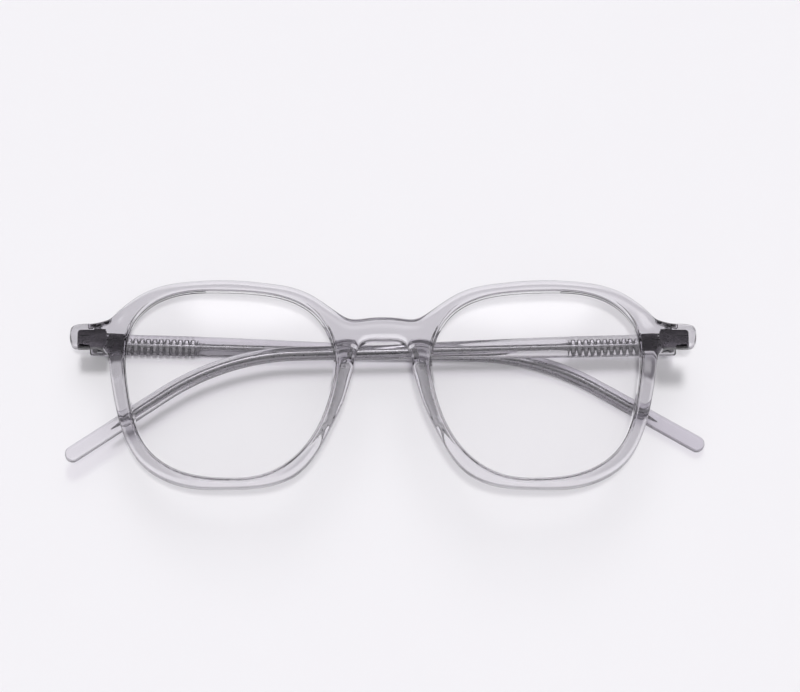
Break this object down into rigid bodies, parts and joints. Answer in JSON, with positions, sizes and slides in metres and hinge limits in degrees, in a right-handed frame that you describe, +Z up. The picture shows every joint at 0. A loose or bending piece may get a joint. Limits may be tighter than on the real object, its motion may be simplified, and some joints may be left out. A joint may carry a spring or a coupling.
{
  "type": "eyeglass frame",
  "caption": "Full-rim eyeglass frame in clear grey acetate with rounded openings, clear lenses, built-up nose pads, barrel hinges and folding temples on ribbed core wires.",
  "frame": {"origin": "on the table, under the middle of the folded frame's box", "axes": "+X along the width of the front, to the right as seen from above; +Y towards the brow side; +Z up, the way the front faces as it lies folded"},
  "size_m": [0.1439, 0.0478, 0.0178],
  "materials": {
    "clear_grey_acetate": "polished, see-through, pale grey with a trace of lavender",
    "clear_lens": "polished, colourless, see-through",
    "nickel_silver_hinge": "satin machined",
    "steel_screw": "bright machined",
    "nickel_silver_core": "bright drawn wire with a pressed ribbed head"
  },
  "bodies": {
    "front": {"front_frame": "clear_grey_acetate", "nose_pad_left": "clear_grey_acetate", "nose_pad_right": "clear_grey_acetate", "lens_left": "clear_lens", "lens_right": "clear_lens", "front_hinge_left": "nickel_silver_hinge", "front_hinge_right": "nickel_silver_hinge", "hinge_screw_left": "steel_screw", "hinge_screw_right": "steel_screw"},
    "temple_arm_left": {"temple_left": "clear_grey_acetate", "core_wire_left": "nickel_silver_core", "temple_hinge_left": "nickel_silver_hinge"},
    "temple_arm_right": {"temple_right": "clear_grey_acetate", "core_wire_right": "nickel_silver_core", "temple_hinge_right": "nickel_silver_hinge"}
  },
  "joints": [
    {"name": "temple_hinge_left_turn", "type": "hinge", "parent": "front", "child": "temple_arm_left", "pos_m": [-0.06382, 0.0118, 0.004], "axis": [0, 1, 0], "range_deg": [0, 85.9]},
    {"name": "temple_hinge_right_turn", "type": "hinge", "parent": "front", "child": "temple_arm_right", "pos_m": [0.06382, 0.0118, 0.0077], "axis": [0, -1, 0], "range_deg": [0, 89.9]}
  ]
}
